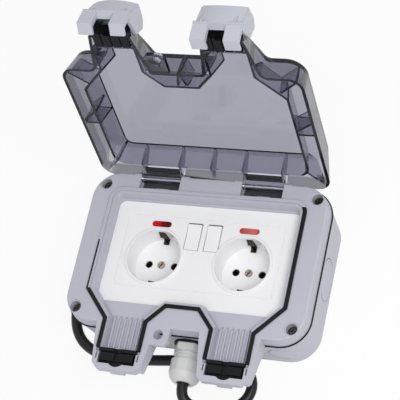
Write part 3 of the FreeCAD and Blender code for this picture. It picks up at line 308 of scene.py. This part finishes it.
frame_grey = (0.50, 0.505, 0.575)
rubber_black = (0.007, 0.007, 0.009)
grey_plastic = moulded("grey_plastic", frame_grey, 0.42, edge=0.0004)
latch_plastic = moulded("latch_plastic", (0.53, 0.545, 0.615), 0.40, edge=0.0004)
white_plastic = moulded("white_plastic", (0.91, 0.91, 0.92), 0.16, grain_depth=polished_grain,
                        drift=0.03, edge=0.0002, shade=0.01)
black_rubber = moulded("black_rubber", rubber_black, 0.5, grain_scale=2600.0, edge=0.0003,
                       gloss=0.16)
cord_rubber = moulded("cord_rubber", (0.009, 0.009, 0.010), 0.36, grain_scale=3000.0, gloss=0.28)
gland_plastic = moulded("gland_plastic", (0.64, 0.645, 0.635), 0.34, edge=0.0004)
core_plastic = moulded("core_plastic", (0.25, 0.12, 0.06), 0.4)
# A near-black plastic for thin sheets of painted shade: in the screw slots, the hinge recesses and
# the rocker gaps.
painted_shade_plastic = moulded("painted_shade_plastic", (0.050, 0.050, 0.058), 0.3, gloss=0.3)

# %% [markdown]
# ### Foam gasket
# The black foam only shows where its groove is open. Along the hinge and down the first part
# of the left side a grey bead of the frame covers it, and on the rest of the left side only
# its outer edge peeps out. A few comparisons on the object's own coordinates say where.

# %% Foam gasket
bead_y = 39.5 * MM
bead_left_y = 3.4 * MM
side_end_y = -32.5 * MM
side_x = -68.5 * MM
peep_x = -71.1 * MM
foam_gasket, tree, output = new_material("foam_gasket")
x, y, _ = object_axes(tree)
on_left = calculate(tree, "LESS_THAN", x, 0.0)
left_bead = calculate(tree, "MULTIPLY", on_left, calculate(tree, "GREATER_THAN", y, bead_left_y))
bead = calculate(tree, "MAXIMUM", left_bead, calculate(tree, "GREATER_THAN", y, bead_y))
beside = calculate(tree, "MULTIPLY", calculate(tree, "LESS_THAN", x, side_x),
                   calculate(tree, "GREATER_THAN", y, side_end_y))
cover = calculate(tree, "MULTIPLY", beside, calculate(tree, "GREATER_THAN", x, peep_x))
colours = tree.nodes.new("ShaderNodeMix")
colours.data_type = "RGBA"
colours.inputs["A"].default_value = (*rubber_black, 1)
colours.inputs["B"].default_value = (*frame_grey, 1)
tree.links.new(calculate(tree, "MAXIMUM", bead, cover), colours.inputs["Factor"])
shader = moulded_shader(tree, rubber_black, 0.5, edge=0.0006, gloss=0.2)
tree.links.new(colours.outputs["Result"], shader.inputs["Base Color"])
tree.links.new(shader.outputs[0], output.inputs["Surface"])
print("foam gasket:", len(tree.nodes), "nodes")

# %% [markdown]
# ### Neon windows
# A neon window is a small red lens over a bulb. The bulb's glow is painted into the lens as a
# bright stretch, with painted shade as a dark one beside it, so the colour runs along the lens
# through a few stops. The left window is a deep red with its painted glow to one side. The
# right one is paler and milky in its own colour, with painted glow as well. The lens has little
# gloss, because a highlight would wash out so deep a red.

# %% Neon windows
lens_middle = 32.2 * MM
lens_half = 7.0 * MM


def neon_window(name, middle, stops):
    """A lens of painted glow and shade, its colour running through stops from its left end (0) to
    its right end (1).
    """
    material, tree, output = new_material(name)
    along = tree.nodes.new("ShaderNodeMapRange")
    along.inputs["From Min"].default_value = middle - lens_half
    along.inputs["From Max"].default_value = middle + lens_half
    tree.links.new(object_axes(tree)[0], along.inputs["Value"])
    ramp = tree.nodes.new("ShaderNodeValToRGB")
    for _ in stops[2:]:
        ramp.color_ramp.elements.new(0.5)
    for element, (position, colour) in zip(ramp.color_ramp.elements, stops):
        element.position = position
        element.color = (*colour, 1)
    tree.links.new(along.outputs["Result"], ramp.inputs["Fac"])
    shader = moulded_shader(tree, stops[0][1], 0.12, grain_depth=polished_grain, gloss=0.1)
    tree.links.new(ramp.outputs["Color"], shader.inputs["Base Color"])
    tree.links.new(shader.outputs[0], output.inputs["Surface"])
    print(name, len(ramp.color_ramp.elements), "stops")
    return material


# The stops paint the bulb's glow and the shade beside it along each lens.
neon_painted_glow = neon_window("neon_painted_glow", -lens_middle, [
    (0.0, (0.40, 0.003, 0.006)), (0.18, (0.72, 0.004, 0.008)), (0.38, (0.55, 0.004, 0.006)),
    (0.55, (0.16, 0.002, 0.004)), (0.85, (0.10, 0.002, 0.004)), (1.0, (0.24, 0.004, 0.008))])
neon_pale = neon_window("neon_pale", lens_middle, [
    (0.0, (0.50, 0.020, 0.022)), (0.15, (0.66, 0.050, 0.050)), (0.35, (0.52, 0.110, 0.110)),
    (0.70, (0.60, 0.150, 0.140)), (0.88, (0.72, 0.110, 0.090)), (1.0, (0.48, 0.030, 0.030))])

# %% [markdown]
# ### Smoked lid
# The lid is clear plastic with a little grey dye. Dye works by depth: the thin panel lets
# much of the light through, while a wall seen along its length swallows nearly all of it, and
# that gives such lids their dark outlines. So the dye is an absorbing volume. The surface
# carries a tint as well, which real plastic doesn't have: painted shade makes the side walls
# and the hinge edge darker in the picture than the volume alone makes them, and painted light
# makes the knuckles lighter.

# %% Smoked lid
side_wall_x = 81.0 * MM
hinge_edge_z, hinge_edge_y = 47.5 * MM, 64.0 * MM
knuckle_x, knuckle_half = 37.55 * MM, 14.7 * MM
panel_clear, wall_painted_shade, knuckle_painted_light = 0.68, -0.36, 0.25
channel_shares = (("Red", 1.0), ("Green", 1.0), ("Blue", 1.09))
dye_colour, dye_density = (0.50, 0.50, 0.56), 330.0
smoked_plastic, tree, output = new_material("smoked_plastic")
shader = tree.nodes.new("ShaderNodeBsdfPrincipled")
x, y, z = object_axes(tree)
hinge_edge = calculate(tree, "MULTIPLY", calculate(tree, "LESS_THAN", z, hinge_edge_z),
                       calculate(tree, "LESS_THAN", y, hinge_edge_y))
from_middle = calculate(tree, "ABSOLUTE", x)
from_knuckle = calculate(tree, "ABSOLUTE", calculate(tree, "SUBTRACT", from_middle, knuckle_x))
by_knuckle = calculate(tree, "LESS_THAN", from_knuckle, knuckle_half)
knuckles = calculate(tree, "MULTIPLY", hinge_edge, by_knuckle)
edge_wall = calculate(tree, "SUBTRACT", hinge_edge, knuckles)
side_walls = calculate(tree, "GREATER_THAN", from_middle, side_wall_x)
walls = calculate(tree, "MAXIMUM", edge_wall, side_walls)
# Painted shade darkens the walls' tint, and painted light brightens the knuckles' tint.
clear = calculate(tree, "MULTIPLY_ADD", walls, wall_painted_shade, panel_clear)
clear = calculate(tree, "MULTIPLY_ADD", knuckles, knuckle_painted_light, clear)
painted_tint = tree.nodes.new("ShaderNodeCombineColor")
for channel, share in channel_shares:
    tree.links.new(calculate(tree, "MULTIPLY", clear, share), painted_tint.inputs[channel])
tree.links.new(painted_tint.outputs["Color"], shader.inputs["Base Color"])
shader.inputs["Transmission Weight"].default_value = 1.0
shader.inputs["IOR"].default_value = 1.35
shader.inputs["Roughness"].default_value = 0.06
tree.links.new(shader.outputs[0], output.inputs["Surface"])
dye = tree.nodes.new("ShaderNodeVolumeAbsorption")
dye.inputs["Color"].default_value = (*dye_colour, 1)
dye.inputs["Density"].default_value = dye_density
tree.links.new(dye.outputs[0], output.inputs["Volume"])
print("smoked lid:", len(tree.nodes), "nodes")

# %% [markdown]
# ### Metals
# Pins and plate screws are plated steel. The contact sleeves are brass, the well screws a
# duller bronze, and the frame's screws and earth clips a metal that looks nearly black. Metal
# is mostly what it mirrors, so a colour and a roughness from the grain group are enough.

# %% Metals
metal_grain_scale = 4000.0


def plated(name, colour, roughness):
    """A metal finish: a mirror colour with the grain group's drifting roughness."""
    material, tree, output = new_material(name)
    shader = tree.nodes.new("ShaderNodeBsdfPrincipled")
    group = tree.nodes.new("ShaderNodeGroup")
    group.node_tree = grain
    group.inputs["Scale"].default_value = metal_grain_scale
    group.inputs["Roughness"].default_value = roughness
    shader.inputs["Base Color"].default_value = (*colour, 1)
    shader.inputs["Metallic"].default_value = 1.0
    tree.links.new(group.outputs["Roughness"], shader.inputs["Roughness"])
    tree.links.new(shader.outputs[0], output.inputs["Surface"])
    print(name, "with roughness", roughness)
    return material


steel = plated("steel", (0.62, 0.61, 0.58), 0.3)
brass = plated("brass", (0.24, 0.22, 0.18), 0.35)
dark_metal = plated("dark_metal", (0.075, 0.066, 0.060), 0.28)
bronze = plated("bronze", (0.42, 0.36, 0.28), 0.35)

# %% [markdown]
# ## Dressing the solids
# Each solid is of one material on the real outlet, so it takes one finish. Pieces that
# nothing shows, such as the switch and the terminal block, are dressed too, for a view with
# the covers off.

# %% Dress the solid pieces
dressed = set()


def dress(material, *names):
    """Puts one finish on several of the solid pieces."""
    for name in names:
        mesh = nodes[name].data
        mesh.materials.clear()
        mesh.materials.append(material)
        dressed.add(name)


def both(item):
    return ["left_" + item, "right_" + item]


dress(grey_plastic, "back_box", "front_frame")
dress(latch_plastic, *both("latch"))
dress(white_plastic, "cover_plate", "plate_carrier", "switch_body", "terminal_block",
      *both("socket_well"), *both("rocker"), *both("neon_lamp"))
dress(foam_gasket, "lid_gasket")
dress(black_rubber, "box_seal", "lid_gasket_middle", "gland_washer", "gland_insert",
      *both("lower_seal"), *both("upper_seal"))
dress(cord_rubber, "cord_inlet")
dress(gland_plastic, "gland_body", "gland_nut", "gland_locknut")
dress(core_plastic, "cord_cores")
dress(neon_painted_glow, "left_neon_lens")
dress(neon_pale, "right_neon_lens")
dress(smoked_plastic, "lid_shell")
dress(steel, "rocker_pin", "plate_screws", *both("latch_pin"), *both("hinge_pin"))
dress(dark_metal, "frame_screws", *both("earth_clip"))
dress(bronze, *both("well_screw"))
dress(brass, *both("contact_sleeves"))
print("dressed", len(dressed), "solids, not dressed:", sorted(set(nodes) - dressed))

# %% [markdown]
# ## Squeezed seam strip
# The rubber strip between the box and the frame swells a little out of its seam, so it draws
# a thin dark line all round. A rectangle with rounded corners, inset to a band and drawn up
# by the seam's height, is all it takes.

# %% Squeezed seam strip
seam_half = (87.8 * MM, 57.2 * MM)
seam_corner, corner_steps = 20.8 * MM, 12
seam_low, seam_height, seam_width = 35.3 * MM, 0.9 * MM, 2.2 * MM


def add_piece(name, shape, material):
    """Files a finished bmesh as an object with its material, and says how large it is."""
    mesh = bpy.data.meshes.new(name)
    bmesh.ops.recalc_face_normals(shape, faces=list(shape.faces))
    shape.to_mesh(mesh)
    shape.free()
    mesh.materials.append(material)
    piece = link_object(name, mesh)
    size = [round(side / MM, 2) for side in piece.dimensions]
    print(name, len(mesh.polygons), "faces,", size, "mm")
    return piece


def new_vertices(made):
    """The vertices among what an extrusion made."""
    return [item for item in made if isinstance(item, bmesh.types.BMVert)]


band = bmesh.new()
bmesh.ops.create_grid(band, x_segments=1, y_segments=1, size=1.0)
bmesh.ops.scale(band, vec=(*seam_half, 1), verts=list(band.verts))
bmesh.ops.bevel(band, geom=list(band.verts), offset=seam_corner, affect="VERTICES",
                segments=corner_steps, profile=0.5, material=-1)
rim = bmesh.ops.inset_region(band, faces=list(band.faces), thickness=seam_width,
                             use_boundary=True, use_even_offset=True)["faces"]
bmesh.ops.delete(band, geom=[face for face in band.faces if face not in rim], context="FACES")
lifted = bmesh.ops.extrude_face_region(band, geom=list(band.faces))["geom"]
bmesh.ops.translate(band, vec=(0, 0, seam_height), verts=new_vertices(lifted))
bmesh.ops.translate(band, vec=(0, 0, seam_low), verts=list(band.verts))
seam_strip = add_piece("seam_strip", band, black_rubber)
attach(seam_strip, "housing")
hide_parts("box_seal")

# %% [markdown]
# ## Small pieces in the frame and on the latches
# A few details are too small for the solid model, and a few thin dark sheets paint shade. All
# of them are flat outlines drawn out to a thickness, so one function makes them. Their sizes are
# written in millimetres.

# %% Flat outlines drawn out
def drawn_out(shape, outline, thickness):
    """Adds one outline, given as 3-D points in millimetres, drawn out along a vector."""
    face = shape.faces.new([shape.verts.new(Vector(point) * MM) for point in outline])
    made = bmesh.ops.extrude_face_region(shape, geom=[face], use_keep_orig=True)["geom"]
    bmesh.ops.translate(shape, vec=Vector(thickness) * MM, verts=new_vertices(made))


def box_in_mm(name):
    """The low and the high corner of a solid's box."""
    low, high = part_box(name)
    return Vector(low) / MM, Vector(high) / MM


# %% [markdown]
# ### Painted shade in the screw slots, and earth clip tips
# The screw in the middle of each well has a slot, and the shade in it is painted: a dark bar
# that stands just clear of its head. The tip of the lower earth clip peeps over the edge of the
# well, where the solid clip stays hidden. The slot's painted shade takes its place from the
# screw's own box. The tip takes only its place along the plate from there, and its distance
# below the well's middle is given.

# %% Painted slot shade and earth clip tips
slot_turn, slot_half = math.radians(62), 0.45
slot_margin, slot_sunk, slot_thick = 0.25, 0.2, 0.22
tip_aside, tip_low, tip_thick = 2.1, 35.4, 1.7
tip_outline = [(-2.4, -21.6), (-2.6, -19.7), (2.4, -20.3), (2.2, -21.8)]
slot_shades = bmesh.new()
tips = bmesh.new()
for name in both("well_screw"):
    low, high = box_in_mm(name)
    middle = (low + high) / 2
    drawn_out(tips, [(middle.x + tip_aside + x, y, tip_low) for x, y in tip_outline],
              (0, 0, tip_thick))
    along = Vector((math.cos(slot_turn), math.sin(slot_turn), 0))
    across = Vector((-along.y, along.x, 0)) * slot_half
    along *= (high.x - low.x) / 2 - slot_margin
    corners = [along + across, across - along, -along - across, along - across]
    drawn_out(slot_shades, [(middle.x + c.x, middle.y + c.y, high.z - slot_sunk) for c in corners],
              (0, 0, slot_thick))
screw_slot_shade = add_piece("screw_slot_shade", slot_shades, painted_shade_plastic)
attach(screw_slot_shade, "housing")
earth_tips = add_piece("earth_tips", tips, dark_metal)
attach(earth_tips, "housing")

# %% [markdown]
# ### Painted shade in the hinge recesses and the rocker gaps
# Under each lid knuckle a thin dark sheet, with a notch in its front edge, paints the shade in
# the hinge recess. Above each rocker a thin dark bar paints the shade in the gap. The two sides
# of the outlet are alike, so each outline is made once for the left and once for the right.

# %% Painted shade in the hinge recesses and rocker gaps
recess_shade_outline = [(23.2, 45.6), (32.6, 45.6), (32.6, 48.0), (42.2, 48.0), (42.2, 45.6),
                  (51.9, 45.6), (51.9, 52.2), (23.2, 52.2)]
recess_shade_low, recess_shade_thick = 39.8, 0.35
rocker_middle, gap_half = 7.25, 4.9
gap_front, gap_back = 24.2, 24.75
gap_low, gap_thick = 37.7, 0.34
recess_shades = bmesh.new()
gap_shades = bmesh.new()
for side in (-1, 1):
    drawn_out(recess_shades, [(side * x, y, recess_shade_low) for x, y in recess_shade_outline],
              (0, 0, recess_shade_thick))
    left, right = side * rocker_middle - gap_half, side * rocker_middle + gap_half
    gap = [(left, gap_front), (right, gap_front), (right, gap_back), (left, gap_back)]
    drawn_out(gap_shades, [(x, y, gap_low) for x, y in gap], (0, 0, gap_thick))
hinge_recess_shade = add_piece("hinge_recess_shade", recess_shades, painted_shade_plastic)
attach(hinge_recess_shade, "housing")
rocker_gap_shade = add_piece("rocker_gap_shade", gap_shades, painted_shade_plastic)
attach(rocker_gap_shade, "housing")

# %% [markdown]
# ### Latch fins
# Each latch has two fins that tie its bowed face to its foot. They are drawn on a shut latch,
# where their outline is easy to give, and then take the same two turns as their latch: its
# own swing, and the lid's. The left latch hangs further out than the right one.

# %% Latch fins
hinge_axis = (53.5, 43.0)
lid_turn = -104.06
latch_middle = 38.1
latch_axis = (-83.5, 58.0)
latch_turns = {-1: -20.0, 1: 0.0}
fin_outline = [(-98.35, 51.0), (-98.35, 52.0), (-96.4, 59.6), (-95.8, 51.0)]
fin_aside, fin_thick = 11.0, 1.6


def turned_about(axis, degrees):
    """A turn about a line along X through a point of the Y-Z plane, in metres."""
    centre = Matrix.Translation(Vector((0, *axis)) * MM)
    return centre @ Matrix.Rotation(math.radians(degrees), 4, "X") @ centre.inverted()


for side, name in ((-1, "left"), (1, "right")):
    fins = bmesh.new()
    for aside in (-fin_aside, fin_aside):
        x = side * latch_middle + aside - fin_thick / 2
        drawn_out(fins, [(x, y, z) for y, z in fin_outline], (fin_thick, 0, 0))
    pose = turned_about(hinge_axis, lid_turn) @ turned_about(latch_axis, latch_turns[side])
    bmesh.ops.transform(fins, matrix=pose, verts=list(fins.verts))
    latch_fins = add_piece(name + "_latch_fins", fins, latch_plastic)
    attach(latch_fins, name + "_latch")

# %% [markdown]
# ## The cord
# The supply cord is a rubber-sheathed lead, about as thick as a pencil. It leaves the gland,
# turns down to the table and lies round the box. One smooth spline through a few given
# points is the easiest way to lay it, with a round section swept along it. The spline cuts a
# little inside the route's corners, so it measures a millimetre less than the solid's tube,
# whose length is the one that is declared.

# %% The cord
cord_radius = 3.75 * MM
cord_z = 3.85
cord_route = [
    (2.5, -84.7, 21.0),
    (2.5, -90.4, 21.0),
    (5.6, -96.0, 19.0),
    (12.4, -98.8, 14.6),
    (21.4, -98.6, 9.6),
    (31.2, -95.4, 5.4),
    (40.4, -89.2, cord_z),
    (44.6, -82.4, cord_z),
    (45.2, -74.8, cord_z),
    (42.0, -67.8, cord_z),
    (35.8, -62.8, cord_z),
    (28.0, -61.0, cord_z),
    (14.0, -61.6, cord_z),
    (-8.0, -63.4, cord_z),
    (-34.0, -66.5, cord_z),
    (-67.0, -68.5, cord_z),
    (-92.0, -55.5, cord_z),
    (-98.6, -23.0, cord_z),
    (-97.6, 14.0, cord_z),
    (-98.6, 48.0, cord_z),
    (-82.0, 71.0, cord_z),
    (-50.0, 72.5, cord_z),
    (-8.0, 69.5, cord_z),
    (33.0, 68.5, cord_z),
]
cord_curve = bpy.data.curves.new("rubber_cord", "CURVE")
cord_curve.dimensions = "3D"
cord_curve.bevel_depth = cord_radius
cord_curve.bevel_resolution = 6
cord_curve.resolution_u = 12
cord_curve.use_fill_caps = True
line = cord_curve.splines.new("NURBS")
line.points.add(len(cord_route) - 1)
for point, spot in zip(line.points, cord_route):
    point.co = (*(Vector(spot) * MM), 1.0)
line.order_u = 3
line.use_endpoint_u = True
cord = link_object("rubber_cord", cord_curve)
cord_curve.materials.append(cord_rubber)
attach(cord, "housing")
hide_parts("supply_cord")
print("cord laid:", round(line.calc_length(resolution=64), 4), "m")
